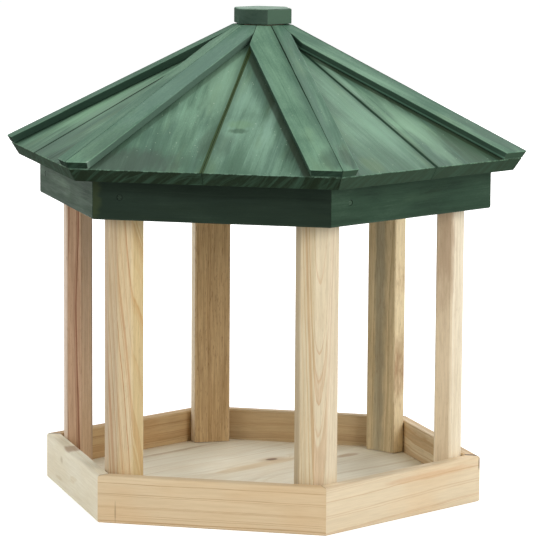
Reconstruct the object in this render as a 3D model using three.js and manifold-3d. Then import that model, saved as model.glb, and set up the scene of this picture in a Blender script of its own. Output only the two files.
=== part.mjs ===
// Hexagonal wooden bird table: six posts stand in a railed tray and carry a boarded roof.
// Millimetres, +Z up. The origin is the centre of the underside of the tray.
import * as THREE from "three";
import { mergeVertices } from "three/addons/utils/BufferGeometryUtils.js";
import Module from "manifold-3d";

const wasm = await Module();
wasm.setup();

// General
const SIDES = 6;
const GAP = 0.3; // joint line between two pieces that touch
const ARRIS = 0.7; // width of the small flat left where a sharp edge is eased
const SAWN_ARRIS = 0.25; // the same on an edge left as it was sawn
const OVERRUN = 5; // how far a cutting tool runs past the piece it cuts

// Tray
const TRAY_RADIUS = 140; // centre to outer corner
const RAIL_HEIGHT = 28.6;
const RAIL_THICKNESS = 8.5;
const RAIL_ROUND = 1.8; // radius of the rounded outer top edge
const FLOOR_THICKNESS = 8.5;

// Posts, a batten whose outer side is shaped to sit in the corner of the tray
const POST_LENGTH = 201.2;
const POST_WIDTH = 24;
const POST_SIDE = 10; // depth of the two straight sides
const POST_TIP = 9; // width of the flat on the outer edge
const POST_LAP = 27.1; // length of post held behind the fascia

// Fascia, the ring of boards round the heads of the posts
const FASCIA_THICKNESS = 12;
const FASCIA_HEIGHT = 30.1; // measured on the outer face

// Roof
const ROOF_SLOPE = 30; // degrees
const EAVE_OVERHANG = 11.9; // from the face of the fascia to the lower edge of a board
const BOARD_THICKNESS = 9;
const SEAM_DRIFTS = [-1.5, 2.3, 0, 0, 0, -13]; // how far each seam is off the middle at the eave
const STRIP_THICKNESS = 4.8;
const WIDE_STRIP = 16.2; // width from the hip line
const NARROW_STRIP = 11; // width from the hip line
const KING_RADIUS = 14; // centre to corner of the block that the boards meet on
const KING_DROP = 17; // length of the block below the underside of the boards
const CAP_RADIUS = 19; // centre to corner
const CAP_TURN = -7; // degrees that the cap is turned on its dowel
const CAP_THICKNESS = 9.6;
const CAP_SHADOW = 0.6; // open line between the cap and the heads of the strips

// Post screws, driven up through the floor
const SCREW_LENGTH = 32;
const SCREW_SHANK_RADIUS = 1.75;
const SCREW_HEAD_RADIUS = 3.6;
const SCREW_HEAD_DEPTH = 2.6;
const SCREW_INSET = 0.4; // head below the underside of the floor
const SCREW_POINT = 4;

// Fascia nails, driven through the fascia into the posts
const NAIL_LENGTH = 21;
const NAIL_SHANK_RADIUS = 0.8;
const NAIL_HEAD_RADIUS = 1.5;
const NAIL_HEAD_DEPTH = 0.7;
const NAIL_INSET = 0.25; // head below the face of the fascia
const NAIL_POINT = 1.8;

// Dowel between the king block and the cap
const DOWEL_RADIUS = 3;
const DOWEL_IN_KING = 12;
const DOWEL_IN_CAP = 5.5;
const DOWEL_ARRIS = 0.5;

// Number of flats round a turned piece, and of chords in a rounded edge
const ROUND_SEGMENTS = 16;
const EDGE_SEGMENTS = 5;

// Angles of the plan and of the roof, in radians
const STEP = (2 * Math.PI) / SIDES;
const HALF_STEP = STEP / 2;
const SLOPE = THREE.MathUtils.degToRad(ROOF_SLOPE);
const SIN = Math.sin(SLOPE);
const COS = Math.cos(SLOPE);
const TAN = Math.tan(SLOPE);
const TAN_HALF = Math.tan(HALF_STEP);
const COS_HALF = Math.cos(HALF_STEP);

// Half of the joint line, measured across the side, where two pieces meet on a corner line
const MITRE_GAP = GAP / 2 / COS_HALF;

// Distances from the centre to the flat of a side
const RAIL_OUTER = TRAY_RADIUS * COS_HALF;
const RAIL_INNER = RAIL_OUTER - RAIL_THICKNESS;
const FASCIA_INNER = RAIL_INNER;
const FASCIA_OUTER = FASCIA_INNER + FASCIA_THICKNESS;
const EAVE_OUTER = FASCIA_OUTER + EAVE_OVERHANG;
const KING_OUTER = KING_RADIUS * COS_HALF;
const CAP_OUTER = CAP_RADIUS * COS_HALF;

// Posts: radial distances of the outer flat, the shoulders and the inner face
const POST_NOSE = ((POST_WIDTH - POST_TIP) / 2) * TAN_HALF;
const POST_TIP_AT = (RAIL_INNER - GAP) / COS_HALF - (POST_TIP / 2) * TAN_HALF;
const POST_SHOULDER_AT = POST_TIP_AT - POST_NOSE;
const POST_BACK_AT = POST_SHOULDER_AT - POST_SIDE;
const POST_CENTRE_AT = (POST_TIP_AT + POST_BACK_AT) / 2;

// Levels
const POST_BOTTOM = FLOOR_THICKNESS + GAP;
const POST_TOP = POST_BOTTOM + POST_LENGTH;
const FASCIA_BOTTOM = POST_TOP - POST_LAP;
const FASCIA_TOP = FASCIA_BOTTOM + FASCIA_HEIGHT;

// Underside of the boards: the height of its peak, and the distance down the slope to the eave
const PEAK = FASCIA_TOP + GAP / COS + FASCIA_OUTER * TAN;
const EAVE_DOWN = EAVE_OUTER / COS;

// Heights above the underside of the boards, square to the slope
const BOARD_TOP = BOARD_THICKNESS;
const STRIP_BOTTOM = BOARD_TOP + GAP;
const STRIP_TOP = STRIP_BOTTOM + STRIP_THICKNESS;

// The strips are trimmed level where their tops pass the flats of the cap
const STRIP_HEAD = roofPoint(slopeAt(CAP_OUTER, STRIP_TOP), STRIP_TOP, 0).z;
const CAP_BOTTOM = STRIP_HEAD + CAP_SHADOW;
const CAP_TOP = CAP_BOTTOM + CAP_THICKNESS;
const KING_TOP = CAP_BOTTOM - GAP;
const KING_BOTTOM = PEAK - KING_OUTER * TAN - KING_DROP;

// Nails go through the middle of the flat that the post shows to the fascia
const NAIL_ACROSS = (RAIL_INNER - GAP) * TAN_HALF - (POST_WIDTH + POST_TIP) / 4 / COS_HALF;
const NAIL_LEVEL = (FASCIA_BOTTOM + POST_TOP) / 2;

// Colours
const PALE_WOOD = 0xd9c8a8;
const RAIL_WOOD = 0xcfb48c;
const POST_WOOD = 0xc4a57c;
const GREEN_BOARD = 0x45735a;
const GREEN_STRIP = 0x3f6a55;
const GREEN_DARK = 0x24473a;
const STEEL = 0xa9a9a4;

const table = new THREE.Group();

// A point of the front side: across it, out from the centre, and up
function sidePoint(across, out, up) {
  return new THREE.Vector3(across, -out, up);
}

// A point of the front slope: down the slope from the peak, square above it, and across it
function roofPoint(down, above, across) {
  return sidePoint(across, down * COS + above * SIN, PEAK - down * SIN + above * COS);
}

// How far down the slope a point lies that is a given distance out from the centre
function slopeAt(out, above) {
  return (out - above * SIN) / COS;
}

// Closed convex solid through rings of points that have the same number of points each
function loft(rings) {
  const count = rings[0].length;
  const points = rings.flat();
  const faces = [];
  for (let ring = 0; ring + 1 < rings.length; ring += 1) {
    for (let i = 0; i < count; i += 1) {
      const a = ring * count + i;
      const b = ring * count + ((i + 1) % count);
      faces.push([a, b, b + count], [a, b + count, a + count]);
    }
  }
  const last = points.length - count;
  for (let i = 1; i + 1 < count; i += 1) {
    faces.push([0, i + 1, i], [last, last + i, last + i + 1]);
  }
  const volume = faces.reduce((sum, [a, b, c]) => {
    return sum + points[a].dot(new THREE.Vector3().crossVectors(points[b], points[c]));
  }, 0);
  const index = faces.flatMap(([a, b, c]) => (volume > 0 ? [a, b, c] : [a, c, b]));
  const geometry = new THREE.BufferGeometry().setFromPoints(points);
  geometry.setIndex(index);
  return geometry;
}

// Outline with each corner cut back by a small flat
function easeCorners(outline, width) {
  return outline.flatMap((corner, i) => {
    const before = outline[(i + outline.length - 1) % outline.length];
    const after = outline[(i + 1) % outline.length];
    const step = (towards) => towards.clone().sub(corner).setLength(width).add(corner);
    return [step(before), step(after)];
  });
}

// Solid from a geometry, for cutting
function toSolid(geometry) {
  const bare = geometry.clone();
  bare.deleteAttribute("normal");
  bare.deleteAttribute("uv");
  const merged = mergeVertices(bare);
  const vertProperties = new Float32Array(merged.attributes.position.array);
  const triVerts = new Uint32Array(merged.index.array);
  return new wasm.Manifold(new wasm.Mesh({ numProp: 3, vertProperties, triVerts }));
}

// What is left of a geometry once the tools are cut out of it
function cut(geometry, tools) {
  const solid = tools.reduce((rest, tool) => rest.subtract(toSolid(tool)), toSolid(geometry));
  const mesh = solid.getMesh();
  const result = new THREE.BufferGeometry();
  result.setAttribute("position", new THREE.BufferAttribute(mesh.vertProperties, 3));
  result.setIndex(new THREE.BufferAttribute(mesh.triVerts, 1));
  return result;
}

// A turned piece on the Z axis through points given as radius and height
function turned(profile) {
  const points = profile.map(([radius, height]) => new THREE.Vector2(radius, height));
  return new THREE.LatheGeometry(points, ROUND_SEGMENTS).rotateX(Math.PI / 2);
}

// A named piece, turned into its place round the centre
function addPiece(name, geometry, turn, colour, roughness, metalness = 0) {
  const flat = geometry.index ? geometry.toNonIndexed() : geometry;
  flat.computeVertexNormals();
  const material = new THREE.MeshStandardMaterial({ color: colour, roughness, metalness });
  const mesh = new THREE.Mesh(flat, material);
  mesh.name = name;
  mesh.rotation.z = turn;
  table.add(mesh);
}

// A six-sided block with flats that far from the centre, its edges eased at the top
function sixSidedBlock(out, bottom, top, arris) {
  const level = (flat, up) => {
    return Array.from({ length: SIDES }, (_, i) => {
      const corner = new THREE.Vector3(0, -flat / COS_HALF, up);
      return corner.applyAxisAngle(new THREE.Vector3(0, 0, 1), (i + 0.5) * STEP);
    });
  };
  return loft([level(out, bottom), level(out, top - arris), level(out - arris, top)]);
}

// A bar along one side, mitred at both ends, from its section given as distance out and height
function mitredBar(section) {
  const end = (sign) => {
    return section.map((point) => {
      return sidePoint(sign * (point.x * TAN_HALF - MITRE_GAP), point.x, point.y);
    });
  };
  return loft([end(-1), end(1)]);
}

// Screw and the hole that it needs, head down, its head flush with the level of its inset
function screwShape() {
  return turned([
    [0, 0],
    [SCREW_HEAD_RADIUS, 0],
    [SCREW_SHANK_RADIUS, SCREW_HEAD_DEPTH],
    [SCREW_SHANK_RADIUS, SCREW_LENGTH - SCREW_POINT],
    [0, SCREW_LENGTH],
  ]);
}

function screwHole() {
  const flare = SCREW_HEAD_DEPTH - GAP;
  return turned([
    [0, -OVERRUN],
    [SCREW_HEAD_RADIUS + GAP, -OVERRUN],
    [SCREW_HEAD_RADIUS + GAP, GAP],
    [SCREW_SHANK_RADIUS + GAP, flare + GAP + GAP],
    [SCREW_SHANK_RADIUS + GAP, SCREW_LENGTH + GAP],
    [0, SCREW_LENGTH + GAP],
  ]);
}

// Nail and the hole that it needs, head down
function nailShape() {
  return turned([
    [0, 0],
    [NAIL_HEAD_RADIUS, 0],
    [NAIL_HEAD_RADIUS, NAIL_HEAD_DEPTH],
    [NAIL_SHANK_RADIUS, NAIL_HEAD_DEPTH],
    [NAIL_SHANK_RADIUS, NAIL_LENGTH - NAIL_POINT],
    [0, NAIL_LENGTH],
  ]);
}

function nailHole() {
  return turned([
    [0, -OVERRUN],
    [NAIL_HEAD_RADIUS + GAP, -OVERRUN],
    [NAIL_HEAD_RADIUS + GAP, NAIL_HEAD_DEPTH + GAP],
    [NAIL_SHANK_RADIUS + GAP, NAIL_HEAD_DEPTH + GAP],
    [NAIL_SHANK_RADIUS + GAP, NAIL_LENGTH + GAP],
    [0, NAIL_LENGTH + GAP],
  ]);
}

// Places a screw shape under the post of the corner that lies on the front axis
function atPostScrew(geometry) {
  return geometry.translate(0, -POST_CENTRE_AT, SCREW_INSET);
}

// Places a nail shape at the left end of the front side, driven inwards
function atFasciaNail(geometry) {
  geometry.rotateX(-Math.PI / 2);
  return geometry.translate(-NAIL_ACROSS, -(FASCIA_OUTER - NAIL_INSET), NAIL_LEVEL);
}

// Tray
function addFloor() {
  const panel = sixSidedBlock(RAIL_INNER - GAP, 0, FLOOR_THICKNESS, SAWN_ARRIS);
  const holes = Array.from({ length: SIDES }, (_, i) => {
    return atPostScrew(screwHole()).rotateZ((i - 0.5) * STEP);
  });
  addPiece("tray_floor", cut(panel, holes), 0, PALE_WOOD, 0.75);
}

function railSection() {
  const corner = new THREE.Vector2(RAIL_OUTER - RAIL_ROUND, RAIL_HEIGHT - RAIL_ROUND);
  const round = Array.from({ length: EDGE_SEGMENTS + 1 }, (_, i) => {
    const angle = ((i / EDGE_SEGMENTS) * Math.PI) / 2;
    const reach = new THREE.Vector2(Math.cos(angle), Math.sin(angle)).multiplyScalar(RAIL_ROUND);
    return reach.add(corner);
  });
  return [
    new THREE.Vector2(RAIL_INNER, 0),
    new THREE.Vector2(RAIL_OUTER - ARRIS, 0),
    new THREE.Vector2(RAIL_OUTER, ARRIS),
    ...round,
    new THREE.Vector2(RAIL_INNER + ARRIS, RAIL_HEIGHT),
    new THREE.Vector2(RAIL_INNER, RAIL_HEIGHT - ARRIS),
  ];
}

function addRails() {
  for (let side = 0; side < SIDES; side += 1) {
    addPiece(`tray_rail_${side + 1}`, mitredBar(railSection()), side * STEP, RAIL_WOOD, 0.7);
  }
}

// Posts
function postShape() {
  const half = POST_WIDTH / 2;
  const tip = POST_TIP / 2;
  const outline = [
    new THREE.Vector2(-half, POST_BACK_AT),
    new THREE.Vector2(-half, POST_SHOULDER_AT),
    new THREE.Vector2(-tip, POST_TIP_AT),
    new THREE.Vector2(tip, POST_TIP_AT),
    new THREE.Vector2(half, POST_SHOULDER_AT),
    new THREE.Vector2(half, POST_BACK_AT),
  ];
  const section = easeCorners(outline, ARRIS);
  const level = (up) => section.map((point) => sidePoint(point.x, point.y, up));
  return loft([level(POST_BOTTOM), level(POST_TOP)]);
}

function addPosts() {
  const holes = [
    atPostScrew(screwHole()),
    atFasciaNail(nailHole()).rotateZ(HALF_STEP),
  ];
  for (let corner = 0; corner < SIDES; corner += 1) {
    const turn = (corner - 0.5) * STEP;
    addPiece(`post_${corner + 1}`, cut(postShape(), holes), turn, POST_WOOD, 0.7);
    addPiece(`post_screw_${corner + 1}`, atPostScrew(screwShape()), turn, STEEL, 0.4, 0.9);
  }
}

// Fascia
function fasciaSection() {
  const topAt = (out) => FASCIA_TOP + (FASCIA_OUTER - out) * TAN;
  return [
    new THREE.Vector2(FASCIA_INNER, FASCIA_BOTTOM),
    new THREE.Vector2(FASCIA_OUTER - ARRIS, FASCIA_BOTTOM),
    new THREE.Vector2(FASCIA_OUTER, FASCIA_BOTTOM + ARRIS),
    new THREE.Vector2(FASCIA_OUTER, topAt(FASCIA_OUTER)),
    new THREE.Vector2(FASCIA_INNER, topAt(FASCIA_INNER)),
  ];
}

function addFascia() {
  for (let side = 0; side < SIDES; side += 1) {
    const board = cut(mitredBar(fasciaSection()), [atFasciaNail(nailHole())]);
    addPiece(`fascia_board_${side + 1}`, board, side * STEP, GREEN_DARK, 0.6);
    addPiece(`fascia_nail_${side + 1}`, atFasciaNail(nailShape()), side * STEP, STEEL, 0.4, 0.9);
  }
}

// Roof boards: each slope is two boards that meet on a seam that starts in its middle
function roofBoard(sign, drift) {
  const level = (above) => {
    const head = slopeAt(KING_OUTER + GAP, above);
    const hipAt = (down) => roofPoint(down, above, 0).y * -TAN_HALF - MITRE_GAP;
    const halfGap = (GAP / 2) * Math.hypot(1, drift / EAVE_DOWN);
    const seamAt = (down) => (drift * down) / EAVE_DOWN + sign * halfGap;
    return [
      roofPoint(head, above, seamAt(head)),
      roofPoint(EAVE_DOWN, above, seamAt(EAVE_DOWN)),
      roofPoint(EAVE_DOWN, above, sign * hipAt(EAVE_DOWN)),
      roofPoint(head, above, sign * hipAt(head)),
    ];
  };
  return loft([level(0), level(BOARD_TOP)]);
}

// Hip strips: one lies each side of a hip, and its head is cut on the middle of the slope
function hipStrip(sign, width) {
  const level = (above) => {
    const head = slopeAt(KING_OUTER + GAP, above);
    const hipAt = (down) => roofPoint(down, above, 0).y * -TAN_HALF - MITRE_GAP;
    const acrossWidth = width * Math.hypot(1, TAN_HALF * COS);
    const middle = GAP / 2;
    const outerEave = EAVE_DOWN * COS * TAN_HALF + STRIP_BOTTOM * SIN * TAN_HALF - acrossWidth;
    const outerHead = EAVE_DOWN - (outerEave - middle) / (TAN_HALF * COS);
    return [
      roofPoint(EAVE_DOWN, above, sign * hipAt(EAVE_DOWN)),
      roofPoint(EAVE_DOWN, above, sign * outerEave),
      roofPoint(outerHead, above, sign * middle),
      roofPoint(head, above, sign * middle),
      roofPoint(head, above, sign * hipAt(head)),
    ];
  };
  return loft([level(STRIP_BOTTOM), level(STRIP_TOP)]);
}

// Everything above the level that the heads of the strips are trimmed to
function aboveStripHeads() {
  const width = 2 * CAP_RADIUS;
  const height = STRIP_TOP + OVERRUN;
  return new THREE.BoxGeometry(width, width, height).translate(0, 0, STRIP_HEAD + height / 2);
}

function addRoof() {
  const hands = [
    { hand: "left", sign: -1, width: NARROW_STRIP },
    { hand: "right", sign: 1, width: WIDE_STRIP },
  ];
  for (let side = 0; side < SIDES; side += 1) {
    for (const { hand, sign, width } of hands) {
      const board = roofBoard(sign, SEAM_DRIFTS[side]);
      const strip = cut(hipStrip(sign, width), [aboveStripHeads()]);
      addPiece(`roof_board_${side + 1}_${hand}`, board, side * STEP, GREEN_BOARD, 0.6);
      addPiece(`hip_strip_${side + 1}_${hand}`, strip, side * STEP, GREEN_STRIP, 0.6);
    }
  }
}

// King block, cap and the dowel that holds them together
function dowelShape(slack) {
  const radius = DOWEL_RADIUS + slack;
  const bottom = KING_TOP - DOWEL_IN_KING - slack;
  const top = CAP_BOTTOM + DOWEL_IN_CAP + slack;
  return turned([
    [0, bottom],
    [radius - DOWEL_ARRIS, bottom],
    [radius, bottom + DOWEL_ARRIS],
    [radius, top - DOWEL_ARRIS],
    [radius - DOWEL_ARRIS, top],
    [0, top],
  ]);
}

function addCrown() {
  const block = sixSidedBlock(KING_OUTER, KING_BOTTOM, KING_TOP, SAWN_ARRIS);
  const king = cut(block, [dowelShape(GAP)]);
  const cap = cut(sixSidedBlock(CAP_OUTER, CAP_BOTTOM, CAP_TOP, ARRIS), [dowelShape(GAP)]);
  addPiece("king_block", king, 0, PALE_WOOD, 0.75);
  addPiece("roof_cap", cap, THREE.MathUtils.degToRad(CAP_TURN), GREEN_DARK, 0.6);
  addPiece("cap_dowel", dowelShape(0), 0, PALE_WOOD, 0.7);
}

addFloor();
addRails();
addPosts();
addFascia();
addRoof();
addCrown();

export default table;
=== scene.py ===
import math

import bmesh
import bpy
import numpy as np
from mathutils import Matrix, Vector, noise
from mathutils.bvhtree import BVHTree


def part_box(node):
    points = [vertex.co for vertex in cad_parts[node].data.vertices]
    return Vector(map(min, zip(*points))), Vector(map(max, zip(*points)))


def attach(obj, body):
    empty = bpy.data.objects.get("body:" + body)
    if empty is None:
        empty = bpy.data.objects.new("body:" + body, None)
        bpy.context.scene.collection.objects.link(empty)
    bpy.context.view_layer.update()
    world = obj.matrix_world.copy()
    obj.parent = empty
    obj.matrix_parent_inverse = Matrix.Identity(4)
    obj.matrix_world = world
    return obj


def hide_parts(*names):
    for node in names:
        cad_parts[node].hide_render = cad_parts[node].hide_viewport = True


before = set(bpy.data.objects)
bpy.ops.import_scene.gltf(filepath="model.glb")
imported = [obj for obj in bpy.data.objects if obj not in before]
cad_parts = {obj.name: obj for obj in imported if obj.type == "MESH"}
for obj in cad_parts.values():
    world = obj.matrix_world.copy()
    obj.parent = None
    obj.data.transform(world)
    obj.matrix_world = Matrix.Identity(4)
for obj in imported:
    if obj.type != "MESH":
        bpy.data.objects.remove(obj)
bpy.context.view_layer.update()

# Units and counts
MM = 0.001
SIDES = 6
STEP = 2 * math.pi / SIDES
UP = Vector((0, 0, 1))

# Camera, fitted to the photograph, in metres and radians
CAMERA_DISTANCE = 1.98529
CAMERA_HEIGHT = 0.41653
CAMERA_SHIFT_RIGHT = 0.00557
CAMERA_YAW = 0.2370
CAMERA_PITCH = 0.1389
CAMERA_ROLL = 0.0070
CAMERA_LENS = 214.49
CAMERA_SENSOR = 36.0
CAMERA_CLIP = 50.0

# Stage and sky: the floor's half length, its colour, and how bright floor and sky are
STAGE_REACH = 6.0
STAGE_GREY = 0.86
STAGE_GLOW = 0.62
SKY_STRENGTH = 0.45

# Heights of the frame that the pieces share
FLOOR_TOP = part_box("tray_floor")[1].z
EAVE_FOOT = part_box("roof_board_1_right")[0].z
CROWN_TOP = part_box("roof_cap")[1].z

# Rounding of the worked edges. Faces that turn by less than FLAT_TURN are one flat face
SAWN_ROUND = 0.35 * MM
RAIL_ROUND = 0.3 * MM
EAVE_ROUND = 0.45 * MM
SHARP_TURN = math.radians(24)
SHORT_EDGE = 2.2 * MM
WELD = 0.002 * MM
FLAT_TURN = math.radians(0.5)
SMOOTH_TURN = math.radians(38)

# A joint is drawn up until its faces all but touch. CORNER_SHARE is how far from the middle of a face
# towards its corners it is tried, and SAME_WAY the share under which two normals count as one
JOINT_REACH = 0.45 * MM
JOINT_GROWTH = 0.14 * MM
JOINT_SHARE = 0.7
CORNER_SHARE = 0.8
SAME_WAY = 0.02

# Unevenness of a planed face: height of the waves and their length
WAVE_HEIGHT = 0.12 * MM
WAVE_LENGTH = 26 * MM
SLICE = 9 * MM

# A mitre runs off square by this much for each step outwards
MITRE_SLOPE = math.tan(math.pi / SIDES)

# Half the width of a slope for each step down it, and how steep a face of the roof is at the least
HIP_SPREAD = 0.5
UPWARD = 0.3

# Lengths in a board's own axes are in millimetres. A thin paler line runs along the foot of a strip's
# side, this far above the underside of the boards, and the shade along the eave is this long
WALL_LINE = 10.4
EAVE_SHADE_LENGTH = 46.0

# Farther than any board reaches: how deep a spot goes, and where a mitre or eave lies that isn't there
BEYOND = 1000.0

# Relief and gloss
RELIEF_DEPTH = 0.5 * MM
BARE_RELIEF, BARE_SHINE = 0.25, 0.25
STAINED_RELIEF, STAINED_SHINE = 0.3, 0.1
FASCIA_SHINE = 0.07
STRIP_SHINE = 0.05

# Colours that all bare pieces share, as they look on a screen
KNOT_RIM = (190, 148, 96)
KNOT_HEART = (112, 72, 42)
SAWN_END = (150, 116, 78)
PALE_EDGE = (236, 220, 192)
OPEN_MITRE = (70, 42, 18)
DARK_FLECK = (126, 90, 56)

# Colours that all stained pieces share
COOL_CAST = (92, 120, 114)
WARM_CAST = (112, 136, 96)
PALE_SPECK = (176, 196, 174)
STRIP_SHADOW = (40, 50, 32)
STAINED_KNOT = (40, 54, 42)


# Shader nodes
def colour(red, green, blue):
    """A colour given as it looks on a screen, from 0 to 255"""
    def linear(value):
        share = value / 255
        return share / 12.92 if share <= 0.04045 else ((share + 0.055) / 1.055) ** 2.4
    return (linear(red), linear(green), linear(blue), 1.0)


class Nodes:
    """Adds nodes to one tree. What is given for an input is a socket or a plain value"""

    def __init__(self, tree):
        self.tree = tree

    def feed(self, socket, value):
        if isinstance(value, bpy.types.NodeSocket):
            self.tree.links.new(value, socket)
        else:
            socket.default_value = value

    def add(self, kind, inputs=None, **settings):
        node = self.tree.nodes.new(kind)
        for name, value in settings.items():
            setattr(node, name, value)
        for name, value in (inputs or {}).items():
            self.feed(node.inputs[name], value)
        return node

    def math(self, operation, *values):
        node = self.add("ShaderNodeMath", dict(enumerate(values)), operation=operation)
        return node.outputs[0]

    def times(self, *values):
        return self.math("MULTIPLY", *values)

    def plus(self, *values):
        return self.math("ADD", *values)

    def minus(self, *values):
        return self.math("SUBTRACT", *values)

    def clipped(self, operation, *values):
        node = self.add("ShaderNodeMath", dict(enumerate(values)), operation=operation, use_clamp=True)
        return node.outputs[0]

    def vector(self, operation, *values):
        node = self.add("ShaderNodeVectorMath", dict(enumerate(values)), operation=operation)
        return node.outputs["Value" if operation in ("LENGTH", "DOT_PRODUCT") else "Vector"]

    def parts(self, vector):
        node = self.add("ShaderNodeSeparateXYZ", {0: vector})
        return node.outputs[0], node.outputs[1], node.outputs[2]

    def join(self, x, y, z):
        return self.add("ShaderNodeCombineXYZ", {0: x, 1: y, 2: z}).outputs[0]

    def cloud(self, place, lengths, detail=2.0, rough=0.5, output="Fac", bend=0.0):
        """Noise whose grains have these lengths, in millimetres, along the three axes"""
        scaled = self.vector("MULTIPLY", place, tuple(1 / length for length in lengths))
        inputs = {"Vector": scaled, "Scale": 1.0, "Detail": detail, "Roughness": rough, "Distortion": bend}
        return self.add("ShaderNodeTexNoise", inputs).outputs[output]

    def span(self, value, low, high, to_low=0.0, to_high=1.0):
        inputs = {0: value, 1: low, 2: high, 3: to_low, 4: to_high}
        return self.add("ShaderNodeMapRange", inputs, interpolation_type="SMOOTHSTEP").outputs[0]

    def mix(self, share, first, second, blend="MIX"):
        inputs = {0: share, 6: first, 7: second}
        return self.add("ShaderNodeMix", inputs, data_type="RGBA", blend_type=blend).outputs[2]

    def ramp(self, share, stops):
        node = self.add("ShaderNodeValToRGB", {0: share})
        elements = node.color_ramp.elements
        while len(elements) < len(stops):
            elements.new(1.0)
        for element, (position, tint) in zip(elements, stops):
            element.position = position
            element.color = tint
        return node.outputs[0]

    def grey(self, value):
        return self.join(value, value, value)

    def towards(self, facing, direction):
        """How far a face looks that way: 1 for a face that is square to it, 0 from 40 degrees off"""
        return self.span(self.vector("DOT_PRODUCT", facing, direction), 0.76, 0.96)

    def blot(self, place, centre, size, ragged):
        """A spot with that centre and those half lengths, in millimetres, with a ragged edge"""
        apart = self.vector("LENGTH", self.vector("DIVIDE", self.vector("SUBTRACT", place, centre), size))
        apart = self.plus(apart, self.times(self.minus(ragged, 0.5), 1.3))
        return self.span(apart, 0.45, 1.25, 1.0, 0.0)

    def show(self, shader, output="ShaderNodeOutputMaterial"):
        """Makes this shader the one that is rendered"""
        self.feed(self.add(output).inputs["Surface"], shader.outputs[0])


def new_group(name, inputs, outputs):
    """An empty node group and its Nodes, input sockets and output node"""
    tree = bpy.data.node_groups.new(name, "ShaderNodeTree")
    for label, kind in inputs:
        tree.interface.new_socket(label, in_out="INPUT", socket_type="NodeSocket" + kind)
    for label, kind in outputs:
        tree.interface.new_socket(label, in_out="OUTPUT", socket_type="NodeSocket" + kind)
    nodes = Nodes(tree)
    entry = nodes.add("NodeGroupInput")
    result = nodes.add("NodeGroupOutput")
    return nodes, entry.outputs, result.inputs


def new_material(name):
    """An empty material and its Nodes"""
    material = bpy.data.materials.new(name)
    material.use_nodes = True
    material.node_tree.nodes.clear()
    return material, Nodes(material.node_tree)


def sockets(kind, *labels):
    return [(label, kind) for label in labels]


# Timber: growth rings round a pith line, fibres, streaks, clouds and one knot
TIMBER_INPUTS = (
    sockets("Vector", "Offset", "Pith", "Lean", "Knot")
    + sockets("Float", "Ring", "Early Share", "Wander", "Knot Size")
)
LOOK_OUTPUTS = sockets("Color", "Colour") + sockets("Float", "Roughness", "Height")

# Faces painted lighter or darker than the rest of a piece, as painted light and shade, and spots on it
PAINTED_LIGHT_SIDES = (1, 2)
SPOTS = (1, 2, 3, 4)
TINT_INPUTS = [
    (f"{label} {number}{part}", kind)
    for label, numbers, parts in (
        ("Side", PAINTED_LIGHT_SIDES, (("", "Vector"), (" Colour", "Color"), (" Share", "Float"))),
        ("Spot", SPOTS, (("", "Vector"), (" Size", "Vector"), (" Colour", "Color"), (" Share", "Float"))),
    )
    for number in numbers
    for part, kind in parts
]


def around_knot(nodes, given, place, moved):
    """Distance from the knot as a share of its size, and how far it pushes the rings aside"""
    apart = nodes.vector("MULTIPLY", nodes.vector("SUBTRACT", place, given["Knot"]), (0.55, 1.0, 0.0))
    ripple = nodes.cloud(moved, (9, 4, 4), 2)
    distance = nodes.plus(nodes.vector("LENGTH", apart), nodes.times(ripple, 1.6))
    reach = nodes.math("DIVIDE", distance, nodes.plus(given["Knot Size"], 0.01))
    swell = nodes.math("EXPONENT", nodes.times(nodes.times(reach, reach), -0.28))
    push = nodes.times(nodes.times(swell, given["Knot Size"]), 1.9)
    return reach, push


def late_wood(nodes, given, place, moved, push):
    """How deep a point lies in the dark part of a growth ring, from 0 to 1"""
    wander = nodes.cloud(moved, (150, 42, 42), 1, output="Color")
    wander = nodes.vector("SUBTRACT", wander, (0.5, 0.5, 0.5))
    wander = nodes.vector("MULTIPLY", wander, nodes.grey(given["Wander"]))
    lean = nodes.vector("MULTIPLY", given["Lean"], nodes.grey(nodes.parts(place)[0]))
    spot = nodes.vector("SUBTRACT", nodes.vector("SUBTRACT", place, given["Pith"]), lean)
    spot = nodes.vector("MULTIPLY", nodes.vector("ADD", spot, wander), (0.0, 1.0, 1.0))
    radius = nodes.plus(nodes.vector("LENGTH", spot), push)
    unrest = nodes.times(nodes.cloud(moved, (24, 3, 3), 3), given["Ring"])
    radius = nodes.plus(radius, nodes.times(unrest, 0.14))
    phase = nodes.math("DIVIDE", radius, given["Ring"])
    drift = nodes.add("ShaderNodeTexNoise", {"W": nodes.times(phase, 0.45)}, noise_dimensions="1D")
    phase = nodes.plus(phase, nodes.times(drift.outputs["Fac"], 1.5))
    share = nodes.math("FRACT", phase)
    rise = nodes.span(share, given["Early Share"], 0.93)
    fall = nodes.span(share, 0.93, 1.0, 1.0, 0.0)
    chosen = nodes.add("ShaderNodeTexWhiteNoise", {"W": nodes.math("FLOOR", phase)}, noise_dimensions="1D")
    strength = nodes.span(chosen.outputs["Value"], 0.0, 1.0, 0.35, 1.0)
    return nodes.times(nodes.times(rise, fall), strength)


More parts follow.
